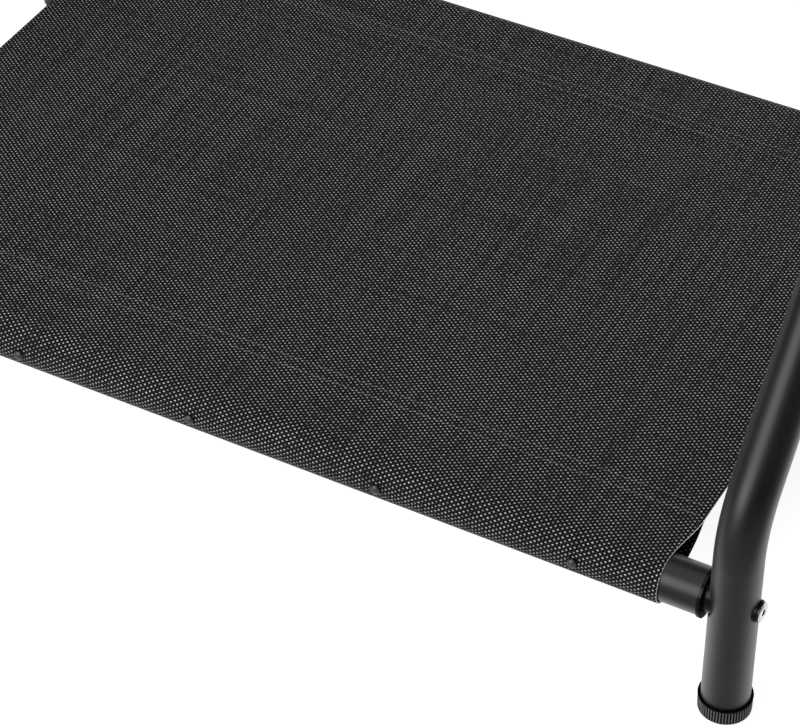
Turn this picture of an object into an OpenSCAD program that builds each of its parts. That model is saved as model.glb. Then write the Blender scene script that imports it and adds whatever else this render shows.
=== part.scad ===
// Raised dog bed: two bent-tube end frames joined by two straight rails, with a mesh
// sling stretched over the rails. X runs along the bed, Y from front to back, Z up.
// The origin is on the floor, in the middle of the bed.

/* [Tubes] */
// Outer diameter of every frame tube
tube_d = 32; // [25:1:38]
// Wall thickness of the tubes
tube_wall = 1.5; // [1:0.1:2.5]

/* [Frame] */
// Distance between the two end frames, tube centre to tube centre
leg_span = 806; // [700:2:1000]
// Distance between the front and back rails, tube centre to tube centre
rail_span = 464; // [420:2:640]
// Height of the rail centres above the floor
rail_z = 94.2; // [80:0.1:150]
// Height above the rail centre at which a leg starts to lean inward (corner of its centre line)
corner_rise = 64; // [55:1:90]
// Lean of the sloping tubes from upright
lean = 40; // [30:1:45]
// Height of the centre of the top bar above the floor
top_z = 300; // [280:1:340]
// Centre-line radius of every bend
bend_r = 72; // [60:1:80]

/* [Sling] */
// Length of the sling along the rails
sling_len = 674; // [400:2:700]
// How far the sling sits off the middle of the rails, towards the right-hand end frame
sling_shift = 23; // [0:1:23]
// Thickness of the mesh
fabric_t = 1; // [0.6:0.1:1.5]
// Distance from the rail centre to the seam that closes the rod pocket
seam_offset = 42; // [36:1:60]
// Distance between neighbouring sling screws
screw_pitch = 138; // [60:1:140]

/* [Hardware] */
// Thread diameter of the frame bolts
bolt_d = 8; // [6:1:8]
// Diameter of the bolt heads
bolt_head_d = 13.6; // [12:0.1:16]
// Diameter of the saddle washers under the bolt heads
washer_d = 15; // [14.5:0.5:20]
// Shank diameter of the sling screws
screw_d = 4; // [3:0.1:4.5]
// Diameter of the screw heads
screw_head_d = 8.2; // [7:0.1:9]

/* [Foot caps] */
// Outer diameter of a foot cap over its ribs
cap_d = 35.8; // [35.8:0.1:44]
// Height of a foot cap
cap_h = 13.5; // [10:0.5:20]
// Number of grip ribs round a foot cap
cap_ribs = 56; // [24:2:60]

/* [Hidden] */
$fn = 64;

tube_r = tube_d / 2;
bore_r = tube_r - tube_wall;
half_legs = leg_span / 2;
half_rails = rail_span / 2;
eps = 0.01;                      // small overlap that makes cuts come out clean

// End frame: the centre line has a corner above each rail and one at each end of the top bar
cap_floor = 3;                   // thickness of a foot cap under the tube
corner_z = rail_z + corner_rise;
slope_run = (top_z - corner_z) * tan(lean);
top_half = half_rails - slope_run;
low_tangent = bend_r * tan(lean / 2);
high_turn = 90 - lean;
high_tangent = bend_r * tan(high_turn / 2);
slope_len = (top_z - corner_z) / cos(lean);
lap = 0.05;                      // how far a straight stretch of tube runs into a bend
bend_draw = 0.02;                // bending draws the tube down by this much in radius

// Rails: cut square, a little short of the legs, with a flanged plug between
rail_gap = 19;                   // leg centre line to the cut end of a rail
rail_half = half_legs - rail_gap;
plug_flange = 2;
flange_r = tube_r + 1;            // the plug's flange stands proud of its rail
plug_depth = 22;
plug_slack = 0.1;                // radial play of a plug in its rail
saddle_d = 24;                   // round boss of the plug that cups the leg
insert_d = 12;
insert_len = 16;
insert_set = 3;                  // insert's outer end behind the cut end of the rail

// Bolts pass through a leg into the insert
bolt_hole_d = bolt_d + 0.5;
bolt_shank_d = bolt_d - 0.1;
bolt_len = 55;
bolt_head_h = 2.8;
bolt_chamfer = 0.8;
socket_af = 5;                   // hexagon socket, across flats
socket_depth = 2;
washer_web = 0.8;                // saddle washer at its thinnest

// Sling: a pocket runs round each rail and closes at a seam under the bed
pocket_in = tube_r + 0.1;
pocket_out = pocket_in + fabric_t;
arc_steps = 36;                  // straight steps in the section of a pocket
screw_hole_d = screw_d + 0.2;
screw_len = 13;
screw_point = 3;
screw_head_h = 3;
screw_drift = [0, -0.8, -4.1, -1.9, 0.7];   // how far each hand-drilled hole is off its even place

// Foot caps
cap_band = 1.5;                  // plain lip above the ribs
rib_tip = cap_d / 2 - 0.15;      // the lip stands a little proud of the ribs
rib_root = rib_tip - 0.5;
sole_r = rib_root - 0.2;         // the sole is set in from the roots of the ribs
cap_bevel = 1.2;

// A bent stretch of round bar in the XZ plane: it leaves the origin upwards and turns towards +X
module bend(r, turn) {
    translate([bend_r, 0, 0]) rotate([90, 0, 0]) mirror([1, 0, 0])
        rotate_extrude(angle = turn) translate([bend_r, 0]) circle(r = r - bend_draw);
}

// A straight stretch of round bar that runs a little way into the bends at its ends
module straight(r, from, to) {
    translate([0, 0, from - lap]) cylinder(r = r, h = to - from + 2 * lap);
}

// One side of an end frame, from the foot of a leg to the top bar, leaning towards +X
module half_hoop(r, extra) {
    straight(r, cap_floor + lap - extra, corner_z - low_tangent);
    translate([0, 0, corner_z - low_tangent]) bend(r, lean);
    translate([0, 0, corner_z]) rotate([0, lean, 0]) {
        straight(r, low_tangent, slope_len - high_tangent);
        translate([0, 0, slope_len - high_tangent]) bend(r, high_turn);
    }
}

// The whole hoop of one end frame, standing in the YZ plane; extra lengthens its open feet
module hoop(r, extra = 0) {
    for (side = [-1, 1])
        scale([1, side, 1]) translate([0, -half_rails, 0]) rotate([0, 0, 90]) half_hoop(r, extra);
    translate([0, 0, top_z]) rotate([-90, 0, 0])
        straight(r, high_tangent - top_half, top_half - high_tangent);
}

// One bent tube with open feet and a bolt hole across each leg; end is -1 on the left, 1 on the right
module end_frame(end) {
    color([0.10, 0.10, 0.11])
    translate([end * half_legs, 0, 0])
        difference() {
            hoop(tube_r);
            hoop(bore_r, eps);
            for (side = [-1, 1])
                translate([-tube_d, side * half_rails, rail_z]) rotate([0, 90, 0])
                    cylinder(d = bolt_hole_d, h = 2 * tube_d);
        }
}

// Positions of the sling screws along a rail
screw_xs = [for (i = [0 : 4]) sling_shift + (i - 2) * screw_pitch + screw_drift[i]];

// Straight rail, drilled through its outer wall for the sling screws; side is -1 at the front
module rail(side) {
    color([0.10, 0.10, 0.11])
    difference() {
        translate([-rail_half, side * half_rails, rail_z]) rotate([0, 90, 0])
            cylinder(r = tube_r, h = 2 * rail_half);
        translate([-rail_half - eps, side * half_rails, rail_z]) rotate([0, 90, 0])
            cylinder(r = bore_r, h = 2 * rail_half + 2 * eps);
        for (x = screw_xs)
            translate([x, side * half_rails, rail_z]) rotate([-side * 90, 0, 0])
                cylinder(d = screw_hole_d, h = tube_d);
    }
}

// Angle at which a line from the seam, level with the top of a circle, touches it underneath
function underside(r, seam) = atan2(r, seam) - acos(r / sqrt(seam * seam + r * r));

// Round a rail at the origin: from the top, over the outside, to where the mesh leaves underneath
function wrap(r, seam) = [for (i = [0 : arc_steps])
    let (turn = 90 + (270 + underside(r, seam)) * i / arc_steps) [r * cos(turn), r * sin(turn)]];

// Moves points to the front (-1) or back (1) rail and faces them inwards
function at_rail(points, side) = [for (p = points) [side * (half_rails - p[0]), p[1]]];

// The points in the opposite order
function backwards(points) = [for (i = [len(points) - 1 : -1 : 0]) points[i]];

// The mesh sling: a flat sheet on top of the rails and a sewn pocket round each of them
module sling() {
    round_rail = wrap(pocket_out, seam_offset);
    sheet_corner = [[seam_offset - fabric_t, pocket_in]];
    hollow = concat([[seam_offset - 3 * fabric_t, pocket_in]],
                    wrap(pocket_in, seam_offset - 3 * fabric_t));
    color([0.16, 0.16, 0.17])
    difference() {
        translate([sling_shift - sling_len / 2, 0, rail_z])
            rotate([90, 0, 90]) linear_extrude(height = sling_len)
                difference() {
                    polygon(concat(backwards(at_rail(round_rail, -1)), at_rail(round_rail, 1),
                                   at_rail(sheet_corner, 1), at_rail(sheet_corner, -1)));
                    for (side = [-1, 1]) polygon(at_rail(hollow, side));
                }
        for (side = [-1, 1], x = screw_xs)
            translate([x, side * half_rails, rail_z]) rotate([-side * 90, 0, 0])
                cylinder(d = screw_hole_d, h = tube_d);
    }
}

// Places a part made along +X from a rail's end: end is -1 or 1 in X, side is -1 or 1 in Y
module at_rail_end(end, side) {
    translate([end * half_legs, side * half_rails, rail_z])
        scale([end, 1, 1]) children();
}

// Flanged plug in a rail's end; its round boss is hollowed to cup the leg
module rail_plug(end, side) {
    color([0.05, 0.05, 0.05])
    at_rail_end(end, side)
        difference() {
            union() {
                translate([-rail_gap - plug_depth, 0, 0]) rotate([0, 90, 0])
                    cylinder(r = bore_r - plug_slack, h = plug_depth + eps);
                translate([-rail_gap, 0, 0]) rotate([0, 90, 0])
                    cylinder(r = flange_r, h = plug_flange);
                translate([-rail_gap, 0, 0]) rotate([0, 90, 0])
                    cylinder(d = saddle_d, h = rail_gap - tube_r / 2);
            }
            translate([0, 0, -tube_d]) cylinder(r = tube_r, h = 2 * tube_d);
            translate([-rail_gap - plug_depth - eps, 0, 0]) rotate([0, 90, 0])
                cylinder(d = bolt_hole_d, h = 2 * plug_depth);
            translate([-rail_gap - plug_depth - eps, 0, 0]) rotate([0, 90, 0])
                cylinder(d = insert_d, h = plug_depth - insert_set + eps);
        }
}

// Threaded steel insert that the frame bolt screws into
module rail_insert(end, side) {
    color([0.62, 0.60, 0.55])
    at_rail_end(end, side)
        translate([-rail_gap - insert_set - insert_len, 0, 0]) rotate([0, 90, 0])
            difference() {
                cylinder(d = insert_d, h = insert_len);
                translate([0, 0, -eps]) cylinder(d = bolt_d, h = insert_len + 2 * eps);
            }
}

// Washer with a flat outer face and an inner face hollowed to fit the leg
module saddle_washer(end, side) {
    color([0.05, 0.05, 0.05])
    at_rail_end(end, side)
        difference() {
            translate([tube_r / 2, 0, 0]) rotate([0, 90, 0])
                cylinder(d = washer_d, h = tube_r / 2 + washer_web);
            translate([0, 0, -tube_d]) cylinder(r = tube_r, h = 2 * tube_d);
            rotate([0, 90, 0]) cylinder(d = bolt_hole_d, h = tube_d);
        }
}

// Frame bolt: a chamfered round head with a hexagon socket, and a plain shank
module frame_bolt(end, side) {
    color([0.55, 0.55, 0.56])
    at_rail_end(end, side)
        translate([tube_r + washer_web, 0, 0]) rotate([0, 90, 0])
            difference() {
                union() {
                    translate([0, 0, -bolt_len]) cylinder(d = bolt_shank_d, h = bolt_len + eps);
                    cylinder(d = bolt_head_d, h = bolt_head_h - bolt_chamfer);
                    translate([0, 0, bolt_head_h - bolt_chamfer])
                        cylinder(d1 = bolt_head_d, d2 = bolt_head_d - 2 * bolt_chamfer,
                                 h = bolt_chamfer);
                }
                translate([0, 0, bolt_head_h - socket_depth])
                    cylinder(d = socket_af / cos(30), h = socket_depth + eps, $fn = 6);
            }
}

// Self-drilling screw with a domed head, driven through the pocket into the rail
module sling_screw(number, side) {
    dome_r = (pow(screw_head_d / 2, 2) + pow(screw_head_h, 2)) / (2 * screw_head_h);
    color([0.12, 0.12, 0.12])
    translate([screw_xs[number - 1], side * (half_rails + pocket_out), rail_z])
        rotate([-side * 90, 0, 0]) {
            intersection() {
                cylinder(d = screw_head_d, h = screw_head_h);
                translate([0, 0, screw_head_h - dome_r]) sphere(r = dome_r);
            }
            translate([0, 0, -screw_len]) cylinder(d = screw_d, h = screw_len + eps);
            translate([0, 0, -screw_len - screw_point])
                cylinder(d1 = 1, d2 = screw_d, h = screw_point + eps);
        }
}

// Outline of the ribbed side of a foot cap; each rib spans these shares of its pitch
module ribbed_outline() {
    step = 360 / cap_ribs;
    rib = [[0, rib_root], [0.3, rib_root], [0.45, rib_tip], [0.85, rib_tip]];
    polygon([for (i = [0 : cap_ribs - 1], p = rib)
        p[1] * [cos((i + p[0]) * step), sin((i + p[0]) * step)]]);
}

// Cup that slips over the open foot of a leg: ribbed side, plain lip, bevelled sole
module foot_cap(end, side) {
    color([0.06, 0.06, 0.06])
    translate([end * half_legs, side * half_rails, 0])
        difference() {
            union() {
                cylinder(r1 = sole_r - cap_bevel, r2 = sole_r, h = cap_bevel);
                translate([0, 0, cap_bevel])
                    linear_extrude(height = cap_h - cap_band - cap_bevel) ribbed_outline();
                translate([0, 0, cap_h - cap_band]) cylinder(d = cap_d, h = cap_band);
            }
            translate([0, 0, cap_floor]) cylinder(r = tube_r, h = cap_h);
        }
}

end_frame(-1);  // end_frame_left
end_frame(1);  // end_frame_right
rail(-1);  // front_rail
rail(1);  // back_rail
sling();
foot_cap(-1, -1);  // foot_cap_front_left
foot_cap(1, -1);  // foot_cap_front_right
foot_cap(-1, 1);  // foot_cap_back_left
foot_cap(1, 1);  // foot_cap_back_right
rail_plug(-1, -1);  // rail_plug_front_left
rail_plug(1, -1);  // rail_plug_front_right
rail_plug(-1, 1);  // rail_plug_back_left
rail_plug(1, 1);  // rail_plug_back_right
rail_insert(-1, -1);  // rail_insert_front_left
rail_insert(1, -1);  // rail_insert_front_right
rail_insert(-1, 1);  // rail_insert_back_left
rail_insert(1, 1);  // rail_insert_back_right
saddle_washer(-1, -1);  // saddle_washer_front_left
saddle_washer(1, -1);  // saddle_washer_front_right
saddle_washer(-1, 1);  // saddle_washer_back_left
saddle_washer(1, 1);  // saddle_washer_back_right
frame_bolt(-1, -1);  // frame_bolt_front_left
frame_bolt(1, -1);  // frame_bolt_front_right
frame_bolt(-1, 1);  // frame_bolt_back_left
frame_bolt(1, 1);  // frame_bolt_back_right
sling_screw(1, -1);  // sling_screw_front_1
sling_screw(2, -1);  // sling_screw_front_2
sling_screw(3, -1);  // sling_screw_front_3
sling_screw(4, -1);  // sling_screw_front_4
sling_screw(5, -1);  // sling_screw_front_5
sling_screw(1, 1);  // sling_screw_back_1
sling_screw(2, 1);  // sling_screw_back_2
sling_screw(3, 1);  // sling_screw_back_3
sling_screw(4, 1);  // sling_screw_back_4
sling_screw(5, 1);  // sling_screw_back_5
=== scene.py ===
import math

import bpy
import numpy as np
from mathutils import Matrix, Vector


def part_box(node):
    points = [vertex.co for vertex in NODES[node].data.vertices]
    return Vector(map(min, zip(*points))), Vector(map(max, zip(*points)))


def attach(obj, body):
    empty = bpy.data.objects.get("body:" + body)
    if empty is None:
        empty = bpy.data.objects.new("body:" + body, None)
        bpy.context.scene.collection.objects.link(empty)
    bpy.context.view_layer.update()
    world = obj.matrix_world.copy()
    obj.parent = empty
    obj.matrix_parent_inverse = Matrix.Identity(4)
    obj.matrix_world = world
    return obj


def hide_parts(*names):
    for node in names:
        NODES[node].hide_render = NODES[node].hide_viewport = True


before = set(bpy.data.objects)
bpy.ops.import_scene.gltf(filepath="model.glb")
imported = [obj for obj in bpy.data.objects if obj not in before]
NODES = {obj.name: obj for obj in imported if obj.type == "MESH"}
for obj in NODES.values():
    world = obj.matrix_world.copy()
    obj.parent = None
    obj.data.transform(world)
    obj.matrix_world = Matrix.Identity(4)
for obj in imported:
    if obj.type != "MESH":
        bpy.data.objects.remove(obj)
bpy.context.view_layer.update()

ENDS = {"left": -1, "right": 1}
SIDES = {"front": -1, "back": 1}
CORNERS = [f"{side}_{end}" for side in SIDES for end in ENDS]


def centre(node):
    low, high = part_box(node)
    return (low + high) / 2


def size(node):
    low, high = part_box(node)
    return high - low


# ---------------------------------------------------------------- measures from the frame
RAIL_Y = centre("back_rail").y
RAIL_Z = centre("back_rail").z
RAIL_R = size("back_rail").z / 2
LEG_X = centre("end_frame_right").x
SLING_LOW, SLING_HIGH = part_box("sling")

# ---------------------------------------------------------------- camera
CAMERA_AZIMUTH = math.radians(28.69)
CAMERA_ELEVATION = math.radians(40.90)
CAMERA_DISTANCE = 2.0575
CAMERA_LENS = 139.6
# Where the camera looks, measured from the front right-hand leg along the top of the sling
AIM_LEFT = 0.2794
AIM_BACK = 0.0803


def make_camera():
    a, e = CAMERA_AZIMUTH, CAMERA_ELEVATION
    back = Vector((math.sin(a) * math.cos(e), -math.cos(a) * math.cos(e), math.sin(e)))
    aim = Vector((LEG_X - AIM_LEFT, AIM_BACK - RAIL_Y, SLING_HIGH.z))
    data = bpy.data.cameras.new("camera")
    data.lens = CAMERA_LENS
    camera = bpy.data.objects.new("camera", data)
    bpy.context.scene.collection.objects.link(camera)
    camera.location = aim + back * CAMERA_DISTANCE
    camera.rotation_mode = "QUATERNION"
    camera.rotation_quaternion = (-back).to_track_quat("-Z", "Y")
    data.clip_start, data.clip_end = 0.05, 50
    bpy.context.scene.camera = camera


# ---------------------------------------------------------------- mesh helpers
def add_object(name, verts, faces, smooth=True, uvs=None):
    mesh = bpy.data.meshes.new(name)
    mesh.from_pydata([tuple(v) for v in verts], [], faces)
    if uvs is not None:
        layer = mesh.uv_layers.new(name="cloth")
        index = np.zeros(len(mesh.loops), np.int32)
        mesh.loops.foreach_get("vertex_index", index)
        layer.data.foreach_set("uv", np.asarray(uvs, np.float32)[index].ravel())
    mesh.polygons.foreach_set("use_smooth", [smooth] * len(mesh.polygons))
    mesh.update()
    obj = bpy.data.objects.new(name, mesh)
    bpy.context.scene.collection.objects.link(obj)
    return obj


def grid_faces(rows, cols, wrap_cols=False):
    """Quads between the rows of a grid of points; the last column may join the first."""
    last = cols if wrap_cols else cols - 1
    return [
        (r * cols + c, r * cols + (c + 1) % cols,
         (r + 1) * cols + (c + 1) % cols, (r + 1) * cols + c)
        for r in range(rows - 1) for c in range(last)
    ]


def rounded(points, radius, steps=5):
    """A profile of (radius, height) points with each inner corner turned into a small arc."""
    out = [points[0]]
    for before, here, after in zip(points, points[1:], points[2:]):
        here, before, after = (np.array(p, float) for p in (here, before, after))
        into, away = before - here, after - here
        reach = min(radius, np.linalg.norm(into) * 0.45, np.linalg.norm(away) * 0.45)
        start = here + into / np.linalg.norm(into) * reach
        end = here + away / np.linalg.norm(away) * reach
        for t in np.linspace(0, 1, steps):
            out.append(tuple((1 - t) ** 2 * start + 2 * t * (1 - t) * here + t * t * end))
    out.append(points[-1])
    return out


def lathe(name, profile, axis_point, axis, segments=48, ripple=None):
    """Spins (radius, height) points about an axis; ripple(turn, height, radius) adds to the radius.

    How deep each point lies below the plain profile is kept as a point attribute, which the plastic reads
    to paint shade into the grooves.
    """
    axis = Vector(axis).normalized()
    across = axis.orthogonal().normalized()
    other = axis.cross(across)
    origin = Vector(axis_point)
    verts, depths = [], []
    for radius, height in profile:
        for i in range(segments):
            turn = 2 * math.pi * i / segments
            depth = ripple(turn, height, radius) if ripple else 0.0
            r = max(radius + depth, 1e-6)
            depths.append(-depth)
            verts.append(origin + axis * height
                         + across * (r * math.cos(turn)) + other * (r * math.sin(turn)))
    rows = len(profile)
    faces = grid_faces(rows, segments, wrap_cols=True)
    faces.append(tuple(reversed(range(segments))))
    faces.append(tuple(range((rows - 1) * segments, rows * segments)))
    turned = add_object(name, verts, faces)
    turned.data.attributes.new("groove_shade", "FLOAT", "POINT").data.foreach_set("value", depths)
    return turned


RIBS = 56               # ribs round a foot cap
RIB_DEPTH = 0.00065     # also the attribute value at which the plastic takes its blackest painted shade


# ---------------------------------------------------------------- materials
class Shader:
    """A small wrapper that keeps node graphs short: each method adds a node and returns its output."""

    def __init__(self, name):
        self.material = bpy.data.materials.new(name)
        self.material.use_nodes = True
        self.tree = self.material.node_tree
        self.bsdf = self.tree.nodes["Principled BSDF"]

    def node(self, kind, **settings):
        n = self.tree.nodes.new(kind)
        for key, value in settings.items():
            setattr(n, key, value)
        return n

    def link(self, source, target):
        self.tree.links.new(source, target)

    def set(self, **values):
        for key, value in values.items():
            self.bsdf.inputs[key.replace("_", " ")].default_value = value

    def math(self, operation, first, second=None, third=None):
        n = self.node("ShaderNodeMath", operation=operation)
        for slot, value in enumerate((first, second, third)):
            if value is None:
                continue
            if isinstance(value, (int, float)):
                n.inputs[slot].default_value = value
            else:
                self.link(value, n.inputs[slot])
        return n.outputs[0]

    def place(self):
        return self.node("ShaderNodeTexCoord").outputs["Object"]

    def stretched(self, source, scale):
        n = self.node("ShaderNodeMapping")
        n.inputs["Scale"].default_value = scale
        self.link(source, n.inputs["Vector"])
        return n.outputs[0]

    def noise(self, source, scale, detail=3.0, rough=0.5):
        n = self.node("ShaderNodeTexNoise")
        n.inputs["Scale"].default_value = scale
        n.inputs["Detail"].default_value = detail
        n.inputs["Roughness"].default_value = rough
        self.link(source, n.inputs["Vector"])
        return n.outputs["Fac"]

    def between(self, value, low, high, out_low=0.0, out_high=1.0, curve="SMOOTHSTEP"):
        n = self.node("ShaderNodeMapRange", interpolation_type=curve)
        self.link(value, n.inputs["Value"])
        for key, v in (("From Min", low), ("From Max", high),
                       ("To Min", out_low), ("To Max", out_high)):
            n.inputs[key].default_value = v
        return n.outputs[0]

    def mix(self, factor, dark, light):
        n = self.node("ShaderNodeMix", data_type="RGBA")
        self.link(factor, n.inputs["Factor"])
        for key, value in (("A", dark), ("B", light)):
            slot = [s for s in n.inputs if s.name == key and s.type == "RGBA"][0]
            if isinstance(value, tuple):
                slot.default_value = (*value, 1.0)
            else:
                self.link(value, slot)
        return [s for s in n.outputs if s.type == "RGBA"][0]

    def facing(self):
        """0 where the surface faces the viewer, 1 where it turns away; only used for gloss."""
        n = self.node("ShaderNodeLayerWeight")
        n.inputs["Blend"].default_value = 0.5
        return n.outputs["Facing"]

    def bump(self, height, strength, distance):
        n = self.node("ShaderNodeBump")
        n.inputs["Strength"].default_value = strength
        n.inputs["Distance"].default_value = distance
        self.link(height, n.inputs["Height"])
        self.link(n.outputs[0], self.bsdf.inputs["Normal"])


def grey(value, warm=0.0):
    return (value * (1 + warm), value, value * (1 - warm))


def powder_coat():
    """Satin black powder coat: fine orange peel, slightly uneven sheen, a little dust in the pores.

    Its gloss grows towards the rims. The socket's own value is the one seen face on, for exports.
    """
    s = Shader("powder_coat")
    place = s.place()
    peel = s.noise(place, 900, detail=2)
    pores = s.noise(place, 3200, detail=2, rough=0.6)
    cloudy = s.noise(place, 14, detail=4)
    colour = s.mix(s.between(cloudy, 0.35, 0.7), grey(0.0014), grey(0.0024))
    dusty = s.mix(s.between(pores, 0.62, 0.78), colour, grey(0.010))
    s.link(dusty, s.bsdf.inputs["Base Color"])
    s.link(s.between(cloudy, 0.3, 0.75, 0.38, 0.45), s.bsdf.inputs["Roughness"])
    s.set(IOR=1.45, Specular_IOR_Level=0.21, Sheen_Weight=0.08, Sheen_Roughness=0.22)
    s.link(s.between(s.facing(), 0.26, 0.84, 0.21, 1.5), s.bsdf.inputs["Specular IOR Level"])
    relief = s.math("ADD", s.math("MULTIPLY", peel, 0.8), s.math("MULTIPLY", pores, 0.2))
    s.bump(relief, 0.08, 0.0004)
    return s.material


WARP_PITCH = 0.00242     # from one lengthwise yarn to the next, measured along X
WEFT_PITCH = 0.00167     # from one crosswise yarn to the next
YARN_R = 0.00042         # half a yarn's thickness
YARN_SWING = 0.00030     # how far a yarn rises over the ones it crosses


def mesh_fabric():
    """Plain-woven coated yarn: round yarns that pass over and under each other, with painted shade,
    black, in the gaps and painted highlights on the crowns.
    """
    s = Shader("mesh_fabric")
    uv = s.node("ShaderNodeUVMap", uv_map="cloth").outputs[0]
    # The yarns wander a little, as woven ones do
    wander = s.node("ShaderNodeTexNoise")
    wander.inputs["Scale"].default_value = 150
    wander.inputs["Detail"].default_value = 2
    s.link(uv, wander.inputs["Vector"])
    shift = s.node("ShaderNodeVectorMath", operation="MULTIPLY_ADD")
    s.link(wander.outputs["Color"], shift.inputs[0])
    shift.inputs[1].default_value = (0.0011, 0.0009, 0)
    s.link(uv, shift.inputs[2])
    split = s.node("ShaderNodeSeparateXYZ")
    s.link(shift.outputs[0], split.inputs[0])
    wave_x = s.math("COSINE", s.math("MULTIPLY", split.outputs[0], math.pi / WARP_PITCH))
    wave_y = s.math("COSINE", s.math("MULTIPLY", split.outputs[1], math.pi / WEFT_PITCH))
    over = s.math("MULTIPLY", wave_x, wave_y)
    # Each yarn is round across its width, and swings up where it passes over
    weft = s.math("MULTIPLY", s.math("POWER", s.math("ABSOLUTE", wave_y), 0.6), YARN_R)
    warp = s.math("MULTIPLY", s.math("POWER", s.math("ABSOLUTE", wave_x), 0.6), YARN_R)
    weft = s.math("MULTIPLY_ADD", over, YARN_SWING, weft)
    warp = s.math("MULTIPLY_ADD", over, -YARN_SWING, warp)
    height = s.math("MAXIMUM", weft, warp)
    fuzz = s.noise(uv, 5200, detail=2)
    relief = s.math("MULTIPLY_ADD", fuzz, 0.00006, height)
    # Colour: painted shade, black, in the gaps, and a painted highlight on the crowns where the crosswise
    # yarns pass over, stronger or weaker at random from yarn to yarn
    streak_x = s.noise(s.stretched(uv, (420, 4, 1)), 1.0, detail=1)
    streak_y = s.noise(s.stretched(uv, (4, 600, 1)), 1.0, detail=1)
    patch = s.noise(uv, 420, detail=1)
    uneven = s.math("ADD", s.math("ADD", streak_x, streak_y), s.math("MULTIPLY", patch, 1.6))
    bright = s.between(uneven, 1.30, 2.30, 0.25, 1.55)
    # Painted highlight: the crowns of the crosswise yarns are painted pale, the rest of the yarn stays
    # dark
    painted_crown_highlight = s.math("MULTIPLY", s.between(over, 0.40, 0.98), bright)
    # Painted shade: low places between the yarns are painted black
    yarn_vs_gap_shade = s.between(height, YARN_R * 0.70, YARN_R * 1.20)
    yarn_with_painted_highlight = s.mix(painted_crown_highlight, grey(0.006), grey(0.25, -0.01))
    s.link(s.mix(yarn_vs_gap_shade, grey(0.0005), yarn_with_painted_highlight), s.bsdf.inputs["Base Color"])
    s.link(s.between(fuzz, 0.3, 0.7, 0.40, 0.52), s.bsdf.inputs["Roughness"])
    s.set(IOR=1.45, Specular_IOR_Level=0.04)
    s.bump(relief, 1.0, 1.0)
    return s.material


def cut_edge():
    """The heat-cut edge of the mesh, where the paler core of each yarn shows."""
    s = Shader("cut_edge")
    uv = s.node("ShaderNodeUVMap", uv_map="cloth").outputs[0]
    ends = s.noise(uv, 1500, detail=1)
    s.link(s.mix(s.between(ends, 0.35, 0.65), grey(0.60), grey(0.90)), s.bsdf.inputs["Base Color"])
    s.set(Roughness=0.7)
    s.bump(ends, 0.5, 0.0003)
    return s.material


def plastic(name, tone, rough, grain, gloss, paint_groove_shade=False):
    """Moulded plastic: faint flow marks, a fine grain and lighter scuffs.

    With painted groove shade on, the plastic is painted black and dull as shade wherever the mesh's point
    attribute says it lies deep or is marked as shaded.
    """
    s = Shader(name)
    place = s.place()
    flow = s.noise(s.stretched(place, (1, 1, 3)), 60, detail=4)
    fine = s.noise(place, 2600, detail=2)
    scuff = s.noise(s.stretched(place, (1, 4, 9)), 240, detail=3, rough=0.7)
    moulded = s.mix(s.between(flow, 0.3, 0.7), grey(tone), grey(tone * 1.35))
    colour = s.mix(s.between(scuff, 0.66, 0.80), moulded, grey(tone * 3.0))
    s.set(IOR=1.48, Specular_IOR_Level=gloss)
    if paint_groove_shade:
        # Painted shade: points deep in a groove, or marked as shaded, are painted black and dulled
        groove_shade = s.node("ShaderNodeAttribute", attribute_name="groove_shade").outputs["Fac"]
        painted_shade = s.between(groove_shade, 0.00005, RIB_DEPTH * 0.35, curve="LINEAR")
        colour = s.mix(painted_shade, colour, grey(0.0005))
        dulled = s.between(painted_shade, 0.0, 1.0, gloss, 0.02, curve="LINEAR")
        s.link(dulled, s.bsdf.inputs["Specular IOR Level"])
    s.link(colour, s.bsdf.inputs["Base Color"])
    s.link(s.between(flow, 0.25, 0.8, rough, rough + 0.12), s.bsdf.inputs["Roughness"])
    s.bump(fine, grain, 0.0003)
    return s.material


def plated_steel(name, tone, warm, dark_tone):
    """Plated steel, turned: fine rings of polish, dark residue in the low places."""
    s = Shader(name)
    place = s.place()
    brushed = s.noise(s.stretched(place, (40, 900, 900)), 1.0, detail=3)
    stain = s.noise(place, 330, detail=4, rough=0.6)
    colour = s.mix(s.between(stain, 0.35, 0.62), grey(dark_tone, warm), grey(tone, warm))
    s.link(colour, s.bsdf.inputs["Base Color"])
    s.link(s.between(brushed, 0.3, 0.7, 0.22, 0.40), s.bsdf.inputs["Roughness"])
    s.set(Metallic=1.0)
    s.bump(brushed, 0.12, 0.0002)
    return s.material


def thread():
    """Twisted sewing thread, with its plies running round it."""
    s = Shader("thread")
    plies = s.noise(s.stretched(s.place(), (2600, 900, 900)), 1.0, detail=2)
    s.link(s.mix(s.between(plies, 0.35, 0.65), grey(0.020), grey(0.045)), s.bsdf.inputs["Base Color"])
    s.set(Roughness=0.7)
    s.bump(plies, 0.6, 0.0002)
    return s.material


def pale_floor():
    """A white floor that glows like a lit sweep, so that it stays white under the bed."""
    s = Shader("pale_floor")
    mottle = s.noise(s.place(), 3, detail=2)
    s.link(s.mix(mottle, grey(0.24), grey(0.26)), s.bsdf.inputs["Base Color"])
    s.set(Roughness=0.9, Specular_IOR_Level=0.0, Emission_Color=(1, 1, 1, 1), Emission_Strength=0.85)
    return s.material


def dress(obj, material, body="root"):
    """Gives a new piece its material and its body."""
    obj.data.materials.clear()
    obj.data.materials.append(material)
    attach(obj, body)


def redress(node, material):
    """Gives a CAD node a better material."""
    obj = NODES[node]
    obj.data.materials.clear()
    obj.data.materials.append(material)


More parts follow.
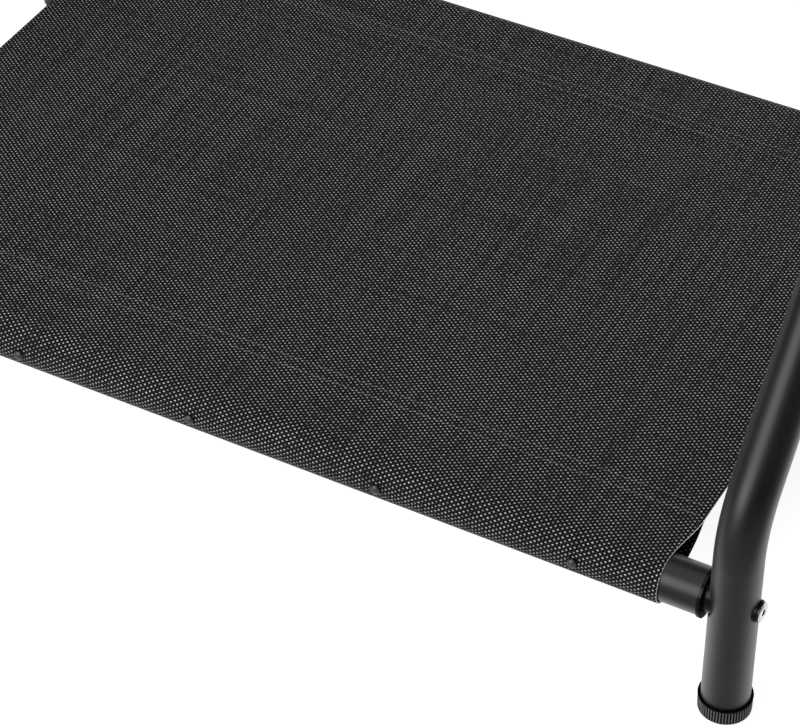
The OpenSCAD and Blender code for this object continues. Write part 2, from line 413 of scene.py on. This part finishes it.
# ---------------------------------------------------------------- the sling
CLOTH_T = 0.0009
PINCH = 0.0048          # how far the rod pockets' ends are drawn in
SHEET_SPARE = 0.0024    # how far the flat sheet runs past the sling's nominal end
SAG = 0.0020            # dip in the middle of the sheet
SEAM_IN = 0.042         # rail centre to the seam that closes a rod pocket
TAB = 0.018             # hem allowance beyond the seam
LOOSE = 0.0007          # how far the pocket stands off its rail at the lower front
DIMPLE = 0.0005         # dent in the mesh round each screw
DIMPLE_AT = 0.0042      # radius of the ring where the dent is deepest
DIMPLE_WIDTH = 0.0035
HEM_GAP = 0.00008       # between the sheet and the hem that lies under it
BOW = 0.00018           # rise and fall of the taut sheet between the screws
BOW_PITCH = 0.138       # from one screw to the next
BOW_REACH = 0.05        # how far in from the rail the rise and fall dies away
SEAM_SLACK = 0.0012     # how far the cloth hangs off a straight line from the seam to the rail


def smooth(t):
    t = np.clip(t, 0, 1)
    return t * t * (3 - 2 * t)


def pocket_path():
    """Centre line of the cloth from its hem edge to the top of a rail, as (in, up) from the rail."""
    top = RAIL_R + 0.0001 + CLOTH_T / 2 + 0.00005
    under = top - CLOTH_T - HEM_GAP
    reach = math.hypot(SEAM_IN, under)
    low = math.atan2(under, SEAM_IN) - math.acos((RAIL_R + 0.0008) / reach)
    points = [(SEAM_IN + TAB, under), (SEAM_IN + TAB * 0.5, under), (SEAM_IN, under)]
    turns = np.linspace(low, -1.5 * math.pi, 58)
    radii = top + LOOSE * np.sin(np.clip((turns - turns[0]) / (turns[-1] - turns[0]), 0, 1)
                                 * math.pi) ** 2
    first = np.array([radii[0] * math.cos(low), radii[0] * math.sin(low)])
    seam = np.array(points[-1])
    for t in np.linspace(0, 1, 15)[1:-1]:
        slack = SEAM_SLACK * math.sin(math.pi * t)
        away = np.array([0.70, -0.71]) * slack
        points.append(tuple(seam + (first - seam) * t + away))
    points += [(r * math.cos(a), r * math.sin(a)) for r, a in zip(radii, turns)]
    return np.array(points)


def cloth_path():
    """The whole centre line as (y, z), from the front hem edge over the sheet to the back one."""
    pocket = pocket_path()
    front = np.column_stack([pocket[:, 0] - RAIL_Y, pocket[:, 1] + RAIL_Z])
    ys = np.linspace(-RAIL_Y, RAIL_Y, 90)[1:-1]
    dip = SAG * (1 - (ys / RAIL_Y) ** 2)
    sheet = np.column_stack([ys, front[-1, 1] - dip])
    back = np.column_stack([-front[::-1, 0], front[::-1, 1]])
    return np.vstack([front, sheet, back]), len(pocket)


def make_sling(material, edge_material):
    path, pocket_count = cloth_path()
    steps = np.linalg.norm(np.diff(path, axis=0), axis=1)
    run = np.concatenate([[0], np.cumsum(steps)])
    middle = (SLING_LOW.x + SLING_HIGH.x) / 2
    half = (SLING_HIGH.x - SLING_LOW.x) / 2 + SHEET_SPARE
    # The ends of the pockets are drawn in; the sheet is full width from the seam on
    inward = RAIL_Y - np.abs(path[:, 0])
    pinch = PINCH * (1 - smooth(inward / SEAM_IN))
    share = np.unique(np.concatenate([np.linspace(-1, 1, 117),
                                      [-0.996, -0.990, 0.990, 0.996]]))
    screws = {side: [centre(f"sling_screw_{side}_{i}").x for i in range(1, 6)] for side in SIDES}
    verts, uvs = [], []
    for i, (y, z) in enumerate(path):
        side = "front" if y < 0 else "back"
        for u in share:
            x = middle + u * (half - pinch[i])
            dent = 0.0
            if i < pocket_count or i >= len(path) - pocket_count:
                if abs(y) > RAIL_Y + RAIL_R * 0.5:
                    for screw_x in screws[side]:
                        far = math.hypot(x - screw_x, z - RAIL_Z)
                        dent += DIMPLE * math.exp(-((far - DIMPLE_AT) / DIMPLE_WIDTH) ** 2)
            # The taut sheet bows in a touch between the screws that hold it
            ripple = 0.0
            if inward[i] > 0:
                ripple = BOW * math.cos(2 * math.pi * (x - middle) / BOW_PITCH) \
                    * math.exp(-inward[i] / BOW_REACH)
            verts.append((x, y - math.copysign(dent, y), z + ripple))
            uvs.append((x, run[i]))
    rows, cols = len(path), len(share)
    cloth = add_object("sling_cloth", verts, grid_faces(rows, cols), uvs=uvs)
    cloth.data.flip_normals()
    cloth.data.materials.append(material)
    cloth.data.materials.append(edge_material)
    solid = cloth.modifiers.new("thickness", "SOLIDIFY")
    solid.thickness = CLOTH_T
    solid.offset = 0
    solid.material_offset_rim = 1
    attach(cloth, "root")
    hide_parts("sling")
    return cloth, float(run[-1])


# ---------------------------------------------------------------- stitching
STITCH_PITCH = 0.0042
STITCH_LENGTH = 0.0034
STITCH_R = 0.00026
STITCH_ROWS = (SEAM_IN + 0.0015, SEAM_IN + TAB * 0.62)      # from the rail's centre
ROW_MARGIN = 0.003      # from the end of a row to the end of the sling


def make_stitching(name, side, material):
    """Two rows of lockstitch that close one rod pocket, on top of the sheet and under its hem."""
    path, _ = cloth_path()
    out = SIDES[side]
    flat = path[np.abs(path[:, 0]) <= RAIL_Y]
    flat = flat[flat[:, 1] > RAIL_Z + RAIL_R]
    order = np.argsort(flat[:, 0])
    path_y, path_z = flat[order, 0], flat[order, 1]
    low_x = SLING_LOW.x + ROW_MARGIN
    high_x = SLING_HIGH.x - ROW_MARGIN
    count = int((high_x - low_x) / STITCH_PITCH)
    verts, faces = [], []
    rings, sides = 7, 6
    for row in STITCH_ROWS:
        y = out * (RAIL_Y - row)
        sheet_z = float(np.interp(y, path_y, path_z))
        for above in (1, -1):
            z = sheet_z + (CLOTH_T / 2 if above > 0 else -CLOTH_T * 1.5 - HEM_GAP)
            for k in range(count):
                x0 = low_x + (k + 0.5) * STITCH_PITCH
                base = len(verts)
                for j in range(rings):
                    t = j / (rings - 1)
                    bow = math.sin(math.pi * t)
                    r = STITCH_R * (0.35 + 0.65 * bow ** 0.5)
                    cx = x0 + (t - 0.5) * STITCH_LENGTH
                    cz = z + above * (bow * STITCH_R * 0.9 - STITCH_R * 0.6)
                    for q in range(sides):
                        turn = 2 * math.pi * q / sides
                        verts.append((cx, y + r * math.cos(turn), cz + r * math.sin(turn)))
                for f in grid_faces(rings, sides, wrap_cols=True):
                    faces.append(tuple(base + i for i in f))
                faces.append(tuple(base + i for i in reversed(range(sides))))
                faces.append(tuple(base + (rings - 1) * sides + i for i in range(sides)))
    piece = add_object(name, verts, faces)
    dress(piece, material)
    return piece


# ---------------------------------------------------------------- small hardware
def paint_shade(piece, in_shade):
    """Paints shade: every vertex that the given test picks gets the value for the blackest painted shade.
    """
    groove_shade = piece.data.attributes["groove_shade"].data
    for vertex, depth in zip(piece.data.vertices, groove_shade):
        if in_shade(vertex.co):
            depth.value = RIB_DEPTH


def make_foot_cap(corner, material):
    """Ribbed cup round the foot of a leg, with a plain rounded lip and a bevelled sole."""
    node = f"foot_cap_{corner}"
    low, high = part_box(node)
    mid = (low + high) / 2
    lip_r, height = (high.x - low.x) / 2, high.z - low.z
    rib_r, band = lip_r - 0.00015, 0.0014
    bore = RAIL_R + 0.00002
    outline = rounded([
        (0.0030, 0.0), (rib_r - 0.0022, 0.0), (rib_r - 0.0002, 0.0016),
        (rib_r, height - band - 0.0003), (lip_r - 0.0006, height - band - 0.0001),
        (lip_r, height - band + 0.0006), (lip_r, height - 0.0004),
        (lip_r - 0.0008, height), (bore + 0.0002, height), (bore, height - 0.0006),
        (bore, 0.0030), (0.0030, 0.0030),
    ], 0.0006, steps=4)

    def ripple(turn, z, radius):
        if radius < bore + 0.0004:
            return 0.0
        fade = smooth((z - 0.0009) / 0.0010) * (1 - smooth((z - height + band + 0.0006) / 0.0005))
        wave = math.cos(turn * RIBS)
        return -RIB_DEPTH * float(fade) * float(1 - smooth((wave + 0.60) / 1.0))

    cap = lathe(f"ribbed_cap_{corner}", outline, (mid.x, mid.y, low.z), (0, 0, 1),
                segments=RIBS * 6, ripple=ripple)
    # Painted shade: the bevelled sole and the lip band above the ribs are painted black; the rib grooves
    # take painted shade from their depth
    paint_shade(cap, lambda place: not 0.0010 < place.z - low.z < height - band - 0.0002)
    dress(cap, material)
    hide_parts(node)


SCREW_HEAD = 0.0030     # height of a sling screw's head


def make_screw(side, number, material):
    """A screw with a thin flange and a smooth dome, and its shank inside the rail."""
    node = f"sling_screw_{side}_{number}"
    low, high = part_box(node)
    out = SIDES[side]
    head_r, head_h = (high.x - low.x) / 2, SCREW_HEAD
    seat = abs(low.y if out < 0 else high.y) - head_h
    shank_r, length = 0.0020, size(node).y - head_h
    profile = rounded([
        (0.0004, -length), (shank_r, -length + 0.003), (shank_r, -0.0002),
        (head_r - 0.0004, -0.0002), (head_r, 0.0000), (head_r, 0.00045),
        (head_r - 0.0005, 0.00075),
    ], 0.0002, steps=3)
    dome_r = head_r - 0.0006
    for t in np.linspace(0.08, 1, 12):
        turn = t * math.pi / 2
        profile.append((max(dome_r * math.cos(turn), 0.0001),
                        0.00075 + (head_h - 0.00075) * math.sin(turn)))
    screw = lathe(f"domed_screw_{side}_{number}", profile,
                  (centre(node).x, out * seat, centre(node).z), (0, out, 0), segments=36)
    # Painted shade: the flange round the foot of the head, and the shank under it, are painted black
    paint_shade(screw, lambda place: abs(place.y) - seat < 0.0008)
    dress(screw, material)
    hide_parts(node)


BOLT_HEAD = 0.0028      # height of a frame bolt's head
BOLT_SOCKET = 0.0020    # depth of its hexagon socket


def make_bolt(corner, side_material, face_material):
    """A low cap-head bolt with a hex socket; the face is worn bright, the side stays black."""
    node = f"frame_bolt_{corner}"
    low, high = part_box(node)
    mid = (low + high) / 2
    out = ENDS[corner.split("_")[1]]
    head_r, head_h = (high.y - low.y) / 2, BOLT_HEAD
    seat = max(abs(low.x), abs(high.x)) - head_h
    length = (high.x - low.x) - head_h
    shank_r, flat, floor = 0.0040, 0.0025, head_h - BOLT_SOCKET
    outside = rounded([
        (0.0003, -length), (shank_r - 0.0008, -length), (shank_r, -length + 0.0008),
        (shank_r, 0.0), (head_r - 0.0003, 0.0), (head_r, 0.0003), (head_r, head_h - 0.0008),
        (head_r - 0.0008, head_h), (flat + 0.0008, head_h),
    ], 0.0003, steps=4)
    socket = [(flat, head_h - 0.0002), (flat, head_h - 0.0006), (flat, floor), (0.0004, floor - 0.0005)]

    def hexagon(turn, height, radius):
        if abs(radius - flat) > 1e-7:
            return 0.0
        sixth = math.pi / 3
        return flat / math.cos((turn % sixth) - sixth / 2) - flat

    bolt = lathe(f"socket_bolt_{corner}", outside + socket, (out * seat, mid.y, mid.z), (out, 0, 0),
                 segments=72, ripple=hexagon)
    dress(bolt, side_material)
    bolt.data.materials.append(face_material)
    for face in bolt.data.polygons:
        height = abs(face.center.x) - seat
        away = math.hypot(face.center.y - mid.y, face.center.z - mid.z)
        if height > head_h - 0.0009 and away > flat:
            face.material_index = 1
    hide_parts(node)


# ---------------------------------------------------------------- studio
FLOOR_HALF = 6.0        # half the floor's side
FLOOR_Z = -0.0003       # just under the soles, so that the two faces don't flicker
WORLD_LIGHT = 0.30


def area_light(name, place, aim, size_m, power):
    data = bpy.data.lights.new(name, "AREA")
    data.shape = "RECTANGLE"
    data.size, data.size_y = size_m
    data.energy = power
    light = bpy.data.objects.new(name, data)
    bpy.context.scene.collection.objects.link(light)
    light.location = place
    light.rotation_mode = "QUATERNION"
    light.rotation_quaternion = (Vector(aim) - Vector(place)).to_track_quat("-Z", "Y")


def from_corner(azimuth, elevation, distance):
    """A place seen from the front right-hand corner in the direction given, in degrees."""
    a, e = math.radians(azimuth), math.radians(elevation)
    away = Vector((math.sin(a) * math.cos(e), -math.cos(a) * math.cos(e), math.sin(e)))
    return Vector((LEG_X, -RAIL_Y, RAIL_Z)) + away * distance


def make_studio():
    bpy.context.scene.view_settings.view_transform = "Standard"
    world = bpy.data.worlds.new("studio")
    world.use_nodes = True
    background = world.node_tree.nodes["Background"]
    background.inputs["Color"].default_value = (1.0, 1.0, 1.0, 1.0)
    background.inputs["Strength"].default_value = WORLD_LIGHT
    bpy.context.scene.world = world
    corners = [(x * FLOOR_HALF, y * FLOOR_HALF, FLOOR_Z) for x, y in ((-1, -1), (1, -1), (1, 1), (-1, 1))]
    floor = add_object("floor", corners, [(0, 1, 2, 3)], smooth=False)
    floor.data.materials.append(pale_floor())
    corner = (LEG_X, -RAIL_Y, RAIL_Z)
    area_light("front_softbox", from_corner(-27, 30, 2.3), corner, (1.5, 1.6), 104)
    area_light("overhead", (0.15, -0.05, 2.5), (0.1, 0, 0), (2.4, 2.0), 46)
    area_light("backdrop", from_corner(165, 10, 2.6), corner, (3.6, 1.0), 16)


# ---------------------------------------------------------------- build
make_camera()

coat = powder_coat()
cap_plastic = plastic("cap_plastic", 0.036, 0.40, 0.06, 0.30, paint_groove_shade=True)
plug_plastic = plastic("plug_plastic", 0.001, 0.16, 0.04, 0.06)
washer_plastic = plastic("washer_plastic", 0.001, 0.22, 0.04, 0.05)
screw_paint = plastic("screw_paint", 0.010, 0.34, 0.05, 0.30, paint_groove_shade=True)
black_oxide = plastic("black_oxide", 0.002, 0.26, 0.03, 0.16)
bolt_steel = plated_steel("bolt_steel", 0.80, 0.01, 0.45)
insert_steel = plated_steel("insert_steel", 0.58, 0.10, 0.25)

for node in ("end_frame_left", "end_frame_right", "front_rail", "back_rail"):
    redress(node, coat)
for corner in CORNERS:
    redress(f"rail_plug_{corner}", plug_plastic)
    redress(f"saddle_washer_{corner}", washer_plastic)
    make_bolt(corner, black_oxide, bolt_steel)
    redress(f"rail_insert_{corner}", insert_steel)
    make_foot_cap(corner, cap_plastic)
for side in SIDES:
    for number in range(1, 6):
        make_screw(side, number, screw_paint)

cloth, cut_length = make_sling(mesh_fabric(), cut_edge())
sewing = thread()
stitching = [make_stitching(f"hem_stitching_{side}", side, sewing) for side in SIDES]

make_studio()
